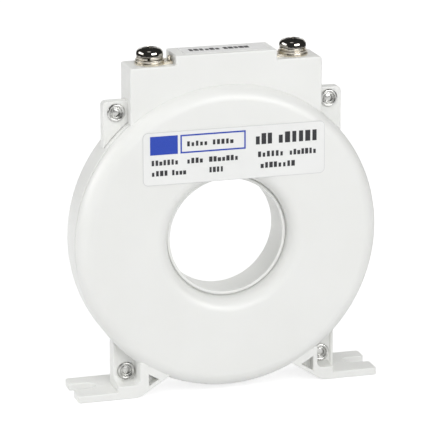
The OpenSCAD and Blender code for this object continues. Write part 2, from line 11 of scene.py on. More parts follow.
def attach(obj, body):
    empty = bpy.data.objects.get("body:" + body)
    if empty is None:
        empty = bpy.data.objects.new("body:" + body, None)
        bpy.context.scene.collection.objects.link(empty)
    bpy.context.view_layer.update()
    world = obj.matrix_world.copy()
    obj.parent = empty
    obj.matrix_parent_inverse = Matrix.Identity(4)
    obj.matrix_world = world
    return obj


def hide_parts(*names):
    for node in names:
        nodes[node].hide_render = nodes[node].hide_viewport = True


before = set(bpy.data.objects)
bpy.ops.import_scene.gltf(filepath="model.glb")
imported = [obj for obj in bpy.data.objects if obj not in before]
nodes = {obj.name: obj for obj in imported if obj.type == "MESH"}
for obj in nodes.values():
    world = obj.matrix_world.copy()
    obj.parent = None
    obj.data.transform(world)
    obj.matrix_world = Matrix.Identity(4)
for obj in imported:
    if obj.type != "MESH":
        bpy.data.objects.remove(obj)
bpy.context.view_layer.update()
scene = bpy.context.scene
mm = 0.001
ringAxis = 47.5    # height of the ring's axis, in millimetres
hands = {"left": -1, "right": 1}
print("frame loaded,", len(nodes), "nodes")


# the object's meshes are drawn in millimetres and scaled once, when a piece is finished

def newObject(name, data):
    obj = bpy.data.objects.new(name, data)
    scene.collection.objects.link(obj)
    return obj


def newMesh(name, points, edges=(), faces=()):
    mesh = bpy.data.meshes.new(name)
    mesh.from_pydata(points, edges, faces)
    return newObject(name, mesh)


def objectFromBmesh(name, bm):
    mesh = bpy.data.meshes.new(name)
    bm.to_mesh(mesh)
    bm.free()
    return newObject(name, mesh)


@contextmanager
def editing(mesh):
    # opens a mesh, and writes it back with its changes
    bm = bmesh.new()
    bm.from_mesh(mesh)
    yield bm
    bm.to_mesh(mesh)
    bm.free()


def drop(obj):
    mesh = obj.data
    bpy.data.objects.remove(obj)
    if mesh.users == 0:
        bpy.data.meshes.remove(mesh)


def applyModifiers(obj):
    bpy.context.view_layer.update()
    graph = bpy.context.evaluated_depsgraph_get()
    mesh = bpy.data.meshes.new_from_object(obj.evaluated_get(graph))
    old = obj.data
    obj.modifiers.clear()
    obj.data = mesh
    if old.users == 0:
        bpy.data.meshes.remove(old)
    return obj


def rectangle(left, low, right, high):
    return [(left, low), (right, low), (right, high), (left, high)]


def sided(points, side):
    # points drawn for the right, on the right (1) or on the left (-1)
    return [(x * side, y) for x, y in points]


def arc(x, y, r, start, end, steps):
    turn = (end - start) / steps
    return [(x + r * cos(radians(start + turn * i)), y + r * sin(radians(start + turn * i)))
            for i in range(steps + 1)]


def tidyLoop(points):
    # drops points that repeat and turns the loop anticlockwise
    loop = []
    for p in points:
        if not loop or (Vector(p) - Vector(loop[-1])).length > 1e-5:
            loop.append(tuple(p))
    if (Vector(loop[0]) - Vector(loop[-1])).length < 1e-5:
        loop.pop()
    area = sum(a[0] * b[1] - b[0] * a[1] for a, b in zip(loop, loop[1:] + loop[:1]))
    return loop if area > 0 else loop[::-1]


def roundCorners(points, sizes, steps=4):
    # rounds the corners of a loop: one radius for each point
    loop, n = [], len(points)
    for i, (p, r) in enumerate(zip(points, sizes)):
        a, b, c = Vector(points[i - 1]), Vector(p), Vector(points[(i + 1) % n])
        toA, toC = (a - b).normalized(), (c - b).normalized()
        bend = toA.angle(toC)
        if r <= 0 or bend > radians(179):
            loop.append(tuple(b))
            continue
        reach = min(r / tan(bend / 2), (a - b).length * 0.49, (c - b).length * 0.49)
        r = reach * tan(bend / 2)
        middle = b + (toA + toC).normalized() * (r / sin(bend / 2))
        start, end = b + toA * reach - middle, b + toC * reach - middle
        sweep = pi - bend
        side = 1 if start.x * end.y - start.y * end.x > 0 else -1
        for k in range(steps + 1):
            t = side * sweep * k / steps
            loop.append((middle.x + start.x * cos(t) - start.y * sin(t),
                         middle.y + start.x * sin(t) + start.y * cos(t)))
    return loop


def sharpEdges(bm):
    return [e for e in bm.edges if e.calc_face_angle(0) > radians(35)]


def bevelEdges(bm, edges, width, segments):
    bmesh.ops.bevel(bm, geom=edges, offset=width, segments=segments, profile=0.5,
                    affect="EDGES", clamp_overlap=True)


def prism(name, outline, near, far, axis="Y", edge=0.0, seam=0.0, lift=0.0):
    # a flat outline pulled along an axis: for Y it is seen from the front, and near and far
    # count forwards from the parting plane; for Z it is seen from above. Edges in the parting
    # plane get the seam's width, the others the edge's
    loop = tidyLoop(outline)
    bm = bmesh.new()
    if axis == "Y":
        place = lambda p, t: (p[0], -t, p[1])
    else:
        place = lambda p, t: (p[0], p[1], t + lift)
    low = [bm.verts.new(place(p, near)) for p in loop]
    high = [bm.verts.new(place(p, far)) for p in loop]
    n = len(loop)
    bm.faces.new(low)
    bm.faces.new(high[::-1])
    for i in range(n):
        bm.faces.new((low[i], high[i], high[(i + 1) % n], low[(i + 1) % n]))
    bmesh.ops.recalc_face_normals(bm, faces=bm.faces)
    if edge > 0:
        parting = lambda e: seam > 0 and all(abs(v.co.y) < 1e-4 for v in e.verts)
        bevelEdges(bm, [e for e in sharpEdges(bm) if not parting(e)], edge, 3)
        if seam > 0:
            bevelEdges(bm, [e for e in sharpEdges(bm) if parting(e)], seam, 1)
    return objectFromBmesh(name, bm)


def cylinder(name, r, place, near, far, axis="Y", steps=40):
    # a round prism, with its middle at place
    return prism(name, arc(place[0], place[1], r, 0, 360 * (1 - 1 / steps), steps - 1), near, far, axis)


def combine(obj, others, how):
    # joins or cuts with each of the others in turn, and drops them
    for other in others:
        cut = obj.modifiers.new("combine", "BOOLEAN")
        cut.operation = how
        cut.solver = "MANIFOLD"
        cut.object = other
        applyModifiers(obj)
        drop(other)
    return obj


def smooth(obj, angle):
    # smooth shading that keeps flat faces flat
    mesh = obj.data
    mesh.polygons.foreach_set("use_smooth", [True] * len(mesh.polygons))
    mesh.set_sharp_from_angle(angle=radians(angle))
    weigh = obj.modifiers.new("weigh", "WEIGHTED_NORMAL")
    weigh.keep_sharp = True
    weigh.weight = 60
    return applyModifiers(obj)


def finishPiece(obj, name, body, material, replaced=(), angle=34, merge=0.0005):
    # scales a piece to metres, shades it, and tells the frame what it is
    if merge:
        with editing(obj.data) as bm:
            bmesh.ops.remove_doubles(bm, verts=bm.verts, dist=merge)
            bmesh.ops.dissolve_degenerate(bm, edges=bm.edges, dist=merge / 2)
    obj.data.transform(Matrix.Scale(mm, 4))
    obj.data.materials.clear()
    obj.data.materials.append(material)
    if angle:
        smooth(obj, angle)
    obj.name = obj.data.name = name
    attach(obj, body)
    if replaced:
        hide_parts(*replaced)
    return obj


# node trees, for geometry and for materials, are built with these helpers

def feed(node, **inputs):
    # sets or links inputs, named by their words or, as i0 and i1, by their place
    for key, value in inputs.items():
        placed = key[0] == "i" and key[1:].isdigit()
        socket = node.inputs[int(key[1:]) if placed else key.replace("_", " ")]
        if isinstance(value, bpy.types.Node):
            value = value.outputs[0]
        if isinstance(value, bpy.types.NodeSocket):
            node.id_data.links.new(value, socket)
        else:
            socket.default_value = value
    return node


def adder(tree):
    # returns a function that adds a node with its settings and inputs
    def add(kind, settings=None, **inputs):
        node = tree.nodes.new(kind)
        for key, value in (settings or {}).items():
            setattr(node, key, value)
        return feed(node, **inputs)
    return add


def maths(add, operation, first, second):
    return add("ShaderNodeMath", {"operation": operation}, i0=first, i1=second)


def randomFrom(add, seed, low, high):
    return add("FunctionNodeRandomValue", {"data_type": "FLOAT"}, i2=low, i3=high, Seed=seed).outputs[1]


def newTree(name, inputs):
    # a geometry tree with named inputs, its adder, and the sockets that give those inputs
    tree = bpy.data.node_groups.new(name, "GeometryNodeTree")
    tree.interface.new_socket("Geometry", in_out="INPUT", socket_type="NodeSocketGeometry")
    for label, kind, value in inputs + [("Material", "Material", None)]:
        socket = tree.interface.new_socket(label, in_out="INPUT", socket_type="NodeSocket" + kind)
        if value is not None:
            socket.default_value = value
    tree.interface.new_socket("Geometry", in_out="OUTPUT", socket_type="NodeSocketGeometry")
    add = adder(tree)
    return tree, add, add("NodeGroupInput").outputs


def closeTree(tree, add, given, geometry, shadeSmooth=True):
    # every tree ends in Realize Instances and Set Material
    if shadeSmooth:
        geometry = add("GeometryNodeSetShadeSmooth", Geometry=geometry)
    real = add("GeometryNodeRealizeInstances", Geometry=geometry)
    add("NodeGroupOutput", i0=add("GeometryNodeSetMaterial", Geometry=real, Material=given["Material"]))
    return tree


def grow(name, tree, values, start=None):
    # runs a tree on a start object, or on nothing, and keeps its mesh
    obj = start or newObject(name, bpy.data.meshes.new(name))
    modifier = obj.modifiers.new("grow", "NODES")
    modifier.node_group = tree
    for item in tree.interface.items_tree:
        if item.in_out == "INPUT" and item.name in values:
            modifier[item.identifier] = values[item.name]
    return applyModifiers(obj)


def sectionObject(name, loop, shift=0.0):
    # a closed line in X and Y for a tree to turn or sweep
    loop = tidyLoop(loop)
    return newMesh(name, [(x - shift, y, 0) for x, y in loop],
                   [(i, (i + 1) % len(loop)) for i in range(len(loop))])


def circleCurve(add, steps, radius):
    return add("GeometryNodeCurvePrimitiveCircle", {"mode": "RADIUS"}, Resolution=steps, Radius=radius)


def turnSection(add, given):
    # takes a section round a circle; its X is measured from the circle's radius
    section = add("GeometryNodeMeshToCurve", Mesh=given["Geometry"])
    path = circleCurve(add, given["Steps"], given["Radius"])
    skin = add("GeometryNodeCurveToMesh", Curve=path, Profile_Curve=section)
    return add("GeometryNodeMergeByDistance", Geometry=skin, Distance=0.0005)


def wireAlong(add, line, bend, bendSteps, wire, wireSteps, openEnds=False):
    # rounds a line's bends and gives it a wire's thickness; a wire with open ends gets caps, and
    # bends that fit its line
    bent = add("GeometryNodeFilletCurve", {"mode": "POLY"}, Curve=line, Radius=bend, Count=bendSteps,
               Limit_Radius=openEnds)
    return add("GeometryNodeCurveToMesh", Curve=bent, Profile_Curve=circleCurve(add, wireSteps, wire),
               Fill_Caps=openEnds)


def turnedTree():
    tree, add, given = newTree("turned", [("Radius", "Float", 1.0), ("Steps", "Int", 48),
                                          ("Turn", "Rotation", None), ("Place", "Vector", None)])
    placed = add("GeometryNodeTransform", Geometry=turnSection(add, given), Rotation=given["Turn"],
                 Translation=given["Place"])
    return closeTree(tree, add, given, placed)


turnedPieces = turnedTree()
faceForward = (radians(-90), 0.0, 0.0)    # the section's Y points out of the ring's face
standUp = (radians(180), 0.0, 0.0)        # the section's Y points up


def turned(name, section, turn, place, steps, radius=1.0):
    start = sectionObject(name, section, radius)
    return grow(name, turnedPieces, {"Radius": radius, "Steps": steps, "Turn": turn,
                                     "Place": place}, start)


# materials

def newMaterial(name, colour, roughness, metallic=0.0):
    material = bpy.data.materials.new(name)
    material.use_nodes = True
    shader = material.node_tree.nodes["Principled BSDF"]
    feed(shader, Base_Color=(*colour, 1), Roughness=roughness, Metallic=metallic)
    return material, adder(material.node_tree), shader


def coordinates(add, scale=(1, 1, 1)):
    place = add("ShaderNodeTexCoord")
    return add("ShaderNodeMapping", Vector=place.outputs["Object"], Scale=scale)


def noise(add, scale, detail, roughness=0.5, where=None):
    return add("ShaderNodeTexNoise", Vector=where or coordinates(add), Scale=scale, Detail=detail,
               Roughness=roughness)


def varyColour(add, shader, pattern, low, high, *colours):
    # the pattern's values from low to high run from the first colour to the second
    ramp = add("ShaderNodeValToRGB", Fac=pattern)
    for element, place, colour in zip(ramp.color_ramp.elements, (low, high), colours):
        element.position = place
        element.color = (*colour, 1)
    feed(shader, Base_Color=ramp)


def varyRoughness(add, shader, pattern, low, high, dullness):
    feed(shader, Roughness=add("ShaderNodeMapRange", i0=pattern, i1=low, i2=high, i3=dullness[0],
                               i4=dullness[1]))


def addBump(add, shader, height, strength, distance):
    # lies on top of the bumps that the shader already has
    bump = add("ShaderNodeBump", Strength=strength, Distance=distance, Height=height)
    earlier = shader.inputs["Normal"].links
    if earlier:
        feed(bump, Normal=earlier[0].from_socket)
    feed(shader, Normal=bump)


def mouldedPlastic():
    look = {"colour": (0.845, 0.85, 0.828), "shade": (0.82, 0.825, 0.8), "grain": 2600,
            "roughness": (0.36, 0.47)}
    material, add, shader = newMaterial("mouldedPlastic", look["colour"], 0.42)
    varyColour(add, shader, noise(add, 46, 4), 0.3, 0.75, look["colour"], look["shade"])
    varyRoughness(add, shader, noise(add, 160, 5), 0.3, 0.7, look["roughness"])
    addBump(add, shader, noise(add, look["grain"], 2), 0.12, 0.00003)
    addBump(add, shader, noise(add, 90, 2), 0.12, 0.0003)
    feed(shader, Specular_IOR_Level=0.45, Subsurface_Weight=0.06,
         Subsurface_Radius=(0.0012, 0.0012, 0.0010), Subsurface_Scale=1.0)
    return material


def platedSteel(name, colour, dull, roughness):
    material, add, shader = newMaterial(name, colour, roughness[0], 1.0)
    varyColour(add, shader, noise(add, 420, 4), 0.35, 0.8, colour, dull)
    varyRoughness(add, shader, noise(add, 900, 4), 0.3, 0.75, roughness)
    scratches = noise(add, 1500, 2, where=coordinates(add, (1, 14, 14)))
    addBump(add, shader, scratches, 0.1, 0.00002)
    return material


def labelFilm(name, colour, roughness):
    material, add, shader = newMaterial(name, colour, roughness)
    varyColour(add, shader, noise(add, 70, 3), 0.35, 0.7, colour, [c * 0.97 for c in colour])
    varyRoughness(add, shader, noise(add, 300, 4), 0.3, 0.7, (roughness * 0.8, roughness * 1.25))
    addBump(add, shader, noise(add, 140, 2), 0.06, 0.0002)
    feed(shader, Coat_Weight=0.25, Coat_Roughness=0.15)
    return material


def printedInk(name, colour, worn):
    material, add, shader = newMaterial(name, colour, 0.4)
    speckle = noise(add, 5200, 3, 0.7)
    varyColour(add, shader, speckle, 0.55, 0.85, colour, worn)
    varyRoughness(add, shader, noise(add, 900, 3), 0.3, 0.7, (0.34, 0.48))
    addBump(add, shader, speckle, 0.08, 0.00001)
    return material


def fibrousTape(name, colour, band, bands):
    # tape wound round a ring: the angle round the axis makes the laps
    material, add, shader = newMaterial(name, colour, 0.55)
    place = add("ShaderNodeTexCoord")
    centred = add("ShaderNodeMapping", Vector=place.outputs["Object"], Location=(0, 0, -ringAxis * mm))
    split = add("ShaderNodeSeparateXYZ", Vector=centred).outputs
    laps = maths(add, "MULTIPLY", maths(add, "ARCTAN2", split["X"], split["Z"]), bands / (2 * pi))
    slope = add("ShaderNodeMath", {"operation": "FRACT"}, i0=laps)
    varyColour(add, shader, slope, 0.02, 0.16, band, colour)
    addBump(add, shader, slope, 0.35, 0.0002)
    addBump(add, shader, noise(add, 1800, 3), 0.15, 0.00004)
    return material


casePlastic = mouldedPlastic()
screwNickel = platedSteel("screwNickel", (0.62, 0.59, 0.54), (0.48, 0.45, 0.4), (0.07, 0.14))
washerNickel = platedSteel("washerNickel", (0.9, 0.85, 0.75), (0.76, 0.7, 0.6), (0.24, 0.36))
rivetNickel = platedSteel("rivetNickel", (0.68, 0.68, 0.66), (0.48, 0.48, 0.47), (0.25, 0.36))
plateBrass = platedSteel("plateBrass", (0.88, 0.82, 0.7), (0.68, 0.61, 0.48), (0.24, 0.36))
whiteFilm = labelFilm("whiteFilm", (0.855, 0.86, 0.845), 0.4)
# grey for the line round the rating film: painted shadow of the film's edge
filmEdgeShadow = labelFilm("filmEdgeShadow", (0.68, 0.685, 0.68), 0.45)
clearFilm = labelFilm("clearFilm", (0.79, 0.79, 0.78), 0.35)
blueInk = printedInk("blueInk", (0.004, 0.045, 0.43), (0.03, 0.09, 0.5))
darkInk = printedInk("darkInk", (0.016, 0.016, 0.02), (0.06, 0.06, 0.07))
coreSteel = platedSteel("coreSteel", (0.34, 0.34, 0.36), (0.2, 0.2, 0.21), (0.35, 0.5))
copperWire = platedSteel("copperWire", (0.62, 0.23, 0.08), (0.4, 0.13, 0.05), (0.25, 0.4))
wrapTape = fibrousTape("wrapTape", (0.76, 0.72, 0.58), (0.6, 0.56, 0.42), 44)
outerTape = fibrousTape("outerTape", (0.7, 0.58, 0.2), (0.56, 0.44, 0.12), 52)
leadRed = labelFilm("leadRed", (0.42, 0.02, 0.015), 0.4)
print("materials made")


# the two shells of the case

shells = {"windowRadius": 17.5, "outerRadius": 46.5, "depth": 19.0, "wall": 2.0,
          "rimRound": 4.6, "mouthRound": 4.2, "backMouthRound": 3.4,
          "lipRecess": 4.8, "lipWall": 0.9, "lipGap": 0.4, "lipEdge": 0.22, "seatStep": 0.8,
          "jointFromFace": 5.0, "grooveWidth": 0.6, "grooveDepth": 0.8,
          "locatorGap": 0.15, "locatorWall": 1.3, "locatorReach": 2.0,
          "joint": 4.5, "edge": 0.25, "seam": 0.07, "steps": 192,
          "sink": 1.5, "clear": 0.15, "past": 12.0}


def shellSections(s):
    # sections of the front and the back shell: X counts from the window's axis, Y towards the face
    face, outer, window, wall = s["depth"] / 2, s["outerRadius"], s["windowRadius"], s["wall"]
    rimR, mouthR, backR, e, lipE = (s[key] for key in (
        "rimRound", "mouthRound", "backMouthRound", "edge", "lipEdge"))
    lip, joint = face - s["lipRecess"], face - s["jointFromFace"]
    groove, seat = joint - s["grooveWidth"], lip - s["seatStep"]
    rim, cavity, inside, innerR = outer - rimR, outer - wall, face - wall, rimR - wall
    tube, lipOut, grooveIn = window + wall, window + s["lipWall"], outer - s["grooveDepth"]
    hole, locator = lipOut + s["lipGap"], cavity - s["locatorGap"]
    locatorIn, locatorEnd = locator - s["locatorWall"], joint - s["locatorReach"]
    locatorTop = degrees(atan2(sqrt(innerR ** 2 - (locatorIn - rim) ** 2), locatorIn - rim))
    mouth, backMouth = hole + mouthR, window + backR
    front = (
        [(hole, seat)] + arc(mouth, face - mouthR, mouthR, 180, 90, 14)
        + arc(rim, face - rimR, rimR, 90, 0, 14) + arc(outer - e, joint + e, e, 0, -90, 3)
        + [(locator, joint), (locator, locatorEnd), (locatorIn, locatorEnd)]
        + arc(rim, face - rimR, innerR, locatorTop, 90, 5)
        + arc(mouth, face - mouthR, mouthR - wall, 90, 180, 6) + [(hole + wall, seat)])
    back = (
        arc(window + lipE, lip - lipE, lipE, 180, 90, 3) + arc(lipOut - lipE, lip - lipE, lipE, 90, 0, 3)
        + [(lipOut, seat), (tube, seat), (tube, -inside)] + arc(rim, rimR - face, innerR, -90, 0, 6)
        + [(cavity, joint), (grooveIn, joint), (grooveIn, groove)]
        + arc(outer - e, groove - e, e, 90, 0, 3) + arc(rim, rimR - face, rimR, 0, -90, 14)
        + arc(backMouth, backR - face, backR, -90, -180, 12))
    return front, back


block = {"width": 58.8, "depth": 11.6, "top": 53.0, "raisedWidth": 31.0, "raisedStep": 3.0,
         "corner": 0.8, "edge": 0.45, "wall": 2.0, "topWall": 2.2, "foot": 6.0, "hollowFoot": 3.5,
         "openingSide": 4.0, "openingLow": 41.75, "openingHigh": 48.5, "openingHalf": 3.8}
terminals = {"x": 22.0, "nutWidth": 7.0, "nutHeight": 3.2, "slack": 0.15, "shelf": 1.4, "cheek": 1.2,
             "cheekRise": 0.3, "cheekSink": 0.5, "hole": 2.3, "holeBelow": 3.0, "holeAbove": 2.0,
             "tailX": 15.7, "tailWidth": 3.0, "plate": 0.8, "tailGap": 0.15}
rivets = {"topX": 32.8, "topZ": 39.3, "bottomX": 30.75, "bottomZ": -40.5, "hole": 1.75,
          "ribOut": 27.9}
lugs = {"thick": 3.5, "side": 4.0, "above": 3.4, "corner": 1.5, "rimWidth": 0.9, "rimRise": 0.5,
        "edge": 0.3, "rimEdge": 0.2, "rimFoot": 0.5, "rimLap": 0.3, "topSink": 3.0, "bottomSink": 2.0,
        "bottomLift": 0.6}
feet = {"end": 47.0, "thick": 2.3, "front": 8.0, "back": 9.9, "slotY": 1.6, "slotWidth": 5.2,
        "slotLength": 7.6, "corner": 0.9, "mouth": 0.9, "edge": 0.3, "base": 4.1, "rightInset": 1.85,
        "ribLeft": 2.7, "ribRight": 1.4, "ribLap": 0.6, "brace": 1.2, "braceEnd": 17.67, "angle": 33.0,
        "toeRun": 2.9, "toeRound": 5.0, "fillet": 1.7, "coveDeep": 5.7, "coveHigh": 3.0, "coveLap": 0.2,
        "seat": 3.2, "web": 1.1, "webInset": 1.1, "webTurn": 1.4, "webEdge": 0.15,
        "pocket": 3.0, "pocketFloor": 1.0, "pocketLap": 0.4}
lap = 1.0    # how far solids that are joined or cut run past each other


def ringHeight(x, r=shells["outerRadius"]):
    # how far above the ring's axis a circle round it stands, at x
    return sqrt(r ** 2 - x ** 2)


def baseEnd(side, base):
    # where the base stops: the right front one falls short of its lug's outer side
    inset = feet["rightInset"] if side > 0 and base > feet["thick"] else 0
    return rivets["bottomX"] + lugs["side"] - inset


def bracketLoops(side, base):
    # the L of base, rib and slanted brace, the web that follows the ring above the brace, and
    # the opening between them
    f, floor, ribOut, endX = feet, -ringAxis, rivets["ribOut"], feet["braceEnd"]
    inner = ribOut - (f["ribRight"] if side > 0 else f["ribLeft"])
    lugX, baseX, footTop = rivets["bottomX"] + lugs["side"], baseEnd(side, base), floor + f["thick"]
    slope = tan(radians(f["angle"]))
    rise = f["brace"] / cos(radians(f["angle"]))
    toeX = inner + f["toeRun"]
    reach = f["toeRound"] * tan(radians(f["angle"] / 2))
    ribTop = f["ribLap"] - ringHeight(ribOut)
    low = lambda x: floor + (toeX - x) * slope
    carrier = (
        [(endX, low(endX))]
        + arc(toeX + reach, floor + f["toeRound"], f["toeRound"], -90 - f["angle"], -90, 5)
        + [(lugX, floor), (lugX, footTop), (baseX, footTop), (baseX, floor + base)]
        + arc(ribOut + f["fillet"], floor + base + f["fillet"], f["fillet"], -90, -180, 5)
        + [(ribOut, ribTop), (inner, ribTop), (inner, low(inner) + rise), (endX, low(endX) + rise)])

    def meeting(r, lift):
        # where a line above the brace meets a circle round the ring's axis
        near, far = endX - 1, inner
        for _ in range(40):
            x = (near + far) / 2
            near, far = (x, far) if x ** 2 + (low(x) + lift) ** 2 < r ** 2 else (near, x)
        return degrees(atan2(low(near) + lift, near))

    bearing = lambda r, x: -degrees(atan2(ringHeight(x, r), x))
    webR, sunk = shells["outerRadius"] + f["web"], f["pocketLap"]
    start, end = bearing(webR, inner + f["webInset"]), meeting(webR, rise) - f["webTurn"]
    web = arc(0, 0, webR, start, end, 8) + arc(0, 0, shells["outerRadius"] - shells["sink"], end, start, 8)
    openR, openX, lift = webR - sunk, inner + sunk, rise - sunk
    opening = [(openX, low(openX) + lift)] + arc(
        0, 0, openR, bearing(openR, openX), meeting(openR, lift), 8)
    return sided(carrier, side), sided(web, side), sided(opening, side)


def footLoop(side, front):
    # the half of a foot in front of or behind the parting plane, seen from above
    f = feet
    inX, outX, c, m = rivets["bottomX"] + lugs["side"] - lap, f["end"], f["corner"], f["mouth"]
    r, slotY = f["slotWidth"] / 2, f["slotY"]
    near, far, endX = slotY - r, slotY + r, outX - f["slotLength"] + r
    meet = degrees(atan2(-slotY, -sqrt(r ** 2 - slotY ** 2)))    # where the slot's end crosses the plane
    if front:
        loop = ([(inX, 0), (inX, -f["front"])]
                + arc(outX - c, -f["front"] + c, c, -90, 0, 7)
                + arc(outX - m, near - m, m, 0, 90, 4) + arc(endX, slotY, r, -90, meet, 6))
    else:
        loop = (arc(endX, slotY, r, meet % 360, 90, 14)
                + arc(outX - m, far + m, m, -90, 0, 4)
                + arc(outX - c, f["back"] - c, c, 0, 90, 7) + [(inX, f["back"]), (inX, 0)])
    return sided(loop, side)


def cove(side, face, top):
    # a hollow ramp from a lower lug's face to the front of its base, with a round seat cut into
    # it for the rivet
    deep, high, sunk = feet["coveDeep"], feet["coveHigh"], feet["coveLap"]
    curve = [(-face - deep * (1 - x), top + high * (1 + y)) for x, y in arc(0, 0, 1, -90, 0, 8)]
    section = ([(sunk - face, top - sunk), (-face - deep, top - sunk)] + curve
               + [(sunk - face, top + high)])
    ends = sorted((side * (rivets["ribOut"] - sunk), side * (baseEnd(side, feet["base"]) - sunk / 2)))
    piece = prism("cove", section, *ends)
    piece.data.transform(Matrix.Rotation(radians(90), 4, "Z"))
    seat = cylinder("rivetSeat", feet["seat"], (side * rivets["bottomX"], rivets["bottomZ"]), face,
                    shells["past"])
    return combine(piece, [seat], "DIFFERENCE")


def blockLoop(half, raised, low, top, peak):
    # the stepped outline of the block, or of the hollow in it
    return [(-half, low), (half, low), (half, top), (raised, top), (raised, peak), (-raised, peak),
            (-raised, top), (-half, top)]


def shellSurround(side):
    # block, lugs, brackets and feet of one shell: side is 1 in front of the parting plane, -1 behind
    b, s, l, f, t = block, shells, lugs, feet, terminals
    outer, merge, seam = s["outerRadius"], s["outerRadius"] - s["sink"], s["seam"]
    x, top, raised = b["width"] / 2, b["top"], b["raisedWidth"] / 2
    peak, under = top + b["raisedStep"], top - b["topWall"]
    outline = roundCorners(blockLoop(x, raised, ringHeight(x) - b["foot"], top, peak),
                           [0, 0, b["corner"], 0, 0, 0, 0, b["corner"]])
    body = prism("blockHalf", outline, 0, side * b["depth"] / 2, edge=b["edge"], seam=seam)
    hollowH = b["depth"] / 2 - b["wall"]
    hollow = blockLoop(x - b["wall"], raised - b["wall"], merge - b["hollowFoot"], under,
                       peak - b["topWall"])
    combine(body, [prism("hollow", hollow, -lap, side * hollowH)], "DIFFERENCE")
    added = []

    def put(name, loop, deep, edge=0.0, seam=0.0):
        added.append(prism(name, loop, 0, side * deep, edge=edge, seam=seam))

    gap, shelf = t["nutWidth"] / 2 + t["slack"], under - t["nutHeight"]
    cheek, floor, rim = gap + t["cheek"], shelf - t["shelf"], under + t["cheekRise"]
    for way in (-1, 1):
        pocket = [(gap, shelf), (gap, rim), (cheek, rim), (cheek, floor), (-cheek, floor), (-cheek, rim),
                  (-gap, rim), (-gap, shelf)]
        put("nutPocket", [(way * t["x"] + px, pz) for px, pz in pocket], hollowH + t["cheekSink"])
        lugX = rivets["topX"] + l["side"]
        topLug = rectangle(x - lap, ringHeight(lugX) - l["topSink"], lugX, rivets["topZ"] + l["above"])
        topLug = roundCorners(topLug, [0, 0, l["corner"], 0])
        put("topLug", sided(topLug, way), l["thick"] / 2, l["edge"], seam)
        lugX = rivets["bottomX"] + l["side"]
        bottomLug = rectangle(rivets["ribOut"] - lap, -ringAxis + l["bottomLift"], lugX,
                              l["bottomSink"] - ringHeight(lugX))
        put("bottomLug", sided(bottomLug, way), l["thick"] / 2, l["edge"], seam)
        rimX = lugX - l["rimWidth"]
        lugRim = rectangle(rimX, -ringAxis + f["thick"] - l["rimFoot"], lugX,
                           l["rimLap"] - ringHeight(rimX))
        put("lugRim", sided(lugRim, way), l["thick"] / 2 + l["rimRise"], l["rimEdge"], seam)
        reachOut, base = (f["front"], f["base"]) if side > 0 else (f["back"], f["thick"])
        carrier, web, opening = bracketLoops(way, base)
        put("bracket", carrier, reachOut, f["edge"], seam)
        put("web", web, reachOut, f["webEdge"])
        if side > 0:
            deep = f["front"] - f["pocket"]
            added.append(prism("pocketFloor", opening, deep - f["pocketFloor"], deep))
            added.append(cove(way, l["thick"] / 2, base - ringAxis))
        added.append(prism("foot", footLoop(way, side > 0), 0, f["thick"], "Z", edge=f["edge"],
                           seam=seam, lift=-ringAxis))
    combine(body, added, "UNION")
    # the front ring starts at the joint, and what lies behind it clears the back ring
    cuts, past, start = [], s["past"], s["joint"] - 0.01 if side > 0 else -s["past"]
    if side > 0:
        cuts.append(cylinder("ringClear", outer + s["clear"], (0, 0), -past, s["joint"], steps=s["steps"]))
    cuts.append(cylinder("ringMerge", merge, (0, 0), start, past, steps=s["steps"]))
    half = t["tailWidth"] / 2 + t["tailGap"]
    for way in (-1, 1):
        cuts.append(cylinder("screwHole", t["hole"], (way * t["x"], 0), shelf - t["holeBelow"],
                             top + t["holeAbove"], "Z"))
        tail = sorted((way * (t["tailX"] - t["tailGap"]), way * (t["tailX"] + t["plate"] + t["tailGap"])))
        cuts.append(prism("tailSlot", rectangle(tail[0], -half, tail[1], half), under - lap, top + lap, "Z"))
        for px, pz in ((rivets["topX"], rivets["topZ"]), (rivets["bottomX"], rivets["bottomZ"])):
            cuts.append(cylinder("rivetHole", rivets["hole"], (way * px, pz), -l["thick"], l["thick"]))
    return combine(body, cuts, "DIFFERENCE")


def makeShell(side, name, node):
    front, back = shellSections(shells)
    ring = turned("ring", front if side > 0 else back, faceForward, (0, 0, 0), shells["steps"], 30.0)
    shell = combine(ring, [shellSurround(side)], "UNION")
    # the way up from the ring into the block
    mouth, half = block["width"] / 2 - block["wall"] - block["openingSide"], block["openingHalf"]
    opening = rectangle(-mouth, block["openingLow"], mouth, block["openingHigh"])
    combine(shell, [prism("opening", opening, -half, half)], "DIFFERENCE")
    shell.data.transform(Matrix.Translation((0, 0, ringAxis)))
    return finishPiece(shell, name, "case", casePlastic, [node])


frontShell = makeShell(1, "frontShell", "front_shell")
backShell = makeShell(-1, "backShell", "back_shell")
print("shells made:", len(frontShell.data.polygons), "and", len(backShell.data.polygons), "faces")


# rivets: one turned section set on four points

rivetSizes = {"head": 2.75, "curl": 0.5, "shank": 1.7, "half": 1.75, "lift": 0.1,
              "lip": 1.42, "lipRound": 0.24, "cup": 0.3, "cupRise": 0.06, "cupStep": 0.08,
              "dome": 0.16, "flange": 0.3, "path": 1.5}


def rivetSection(r):
    # a rolled rim, a groove inside it, and a small lip round a shallow cup
    low = r["half"] + r["lift"]
    curlX, cupR = r["head"] - r["curl"], r["lip"] - r["lipRound"]
    floorY = low - r["cup"]
    upper = ([(r["shank"], r["half"]), (curlX + r["flange"], r["half"])]
             + arc(curlX, low, r["curl"], -12, 178, 12)
             + arc(r["lip"], low, r["lipRound"], 10, 180, 6)
             + [(cupR, floorY + r["cupRise"]), (cupR - r["cupStep"], floorY)]
             + [(cupR * t, floorY + r["dome"] * (1 - t * t)) for t in (0.75, 0.5, 0.25, 0.0)])
    return upper + [(x, -y) for x, y in reversed(upper)]


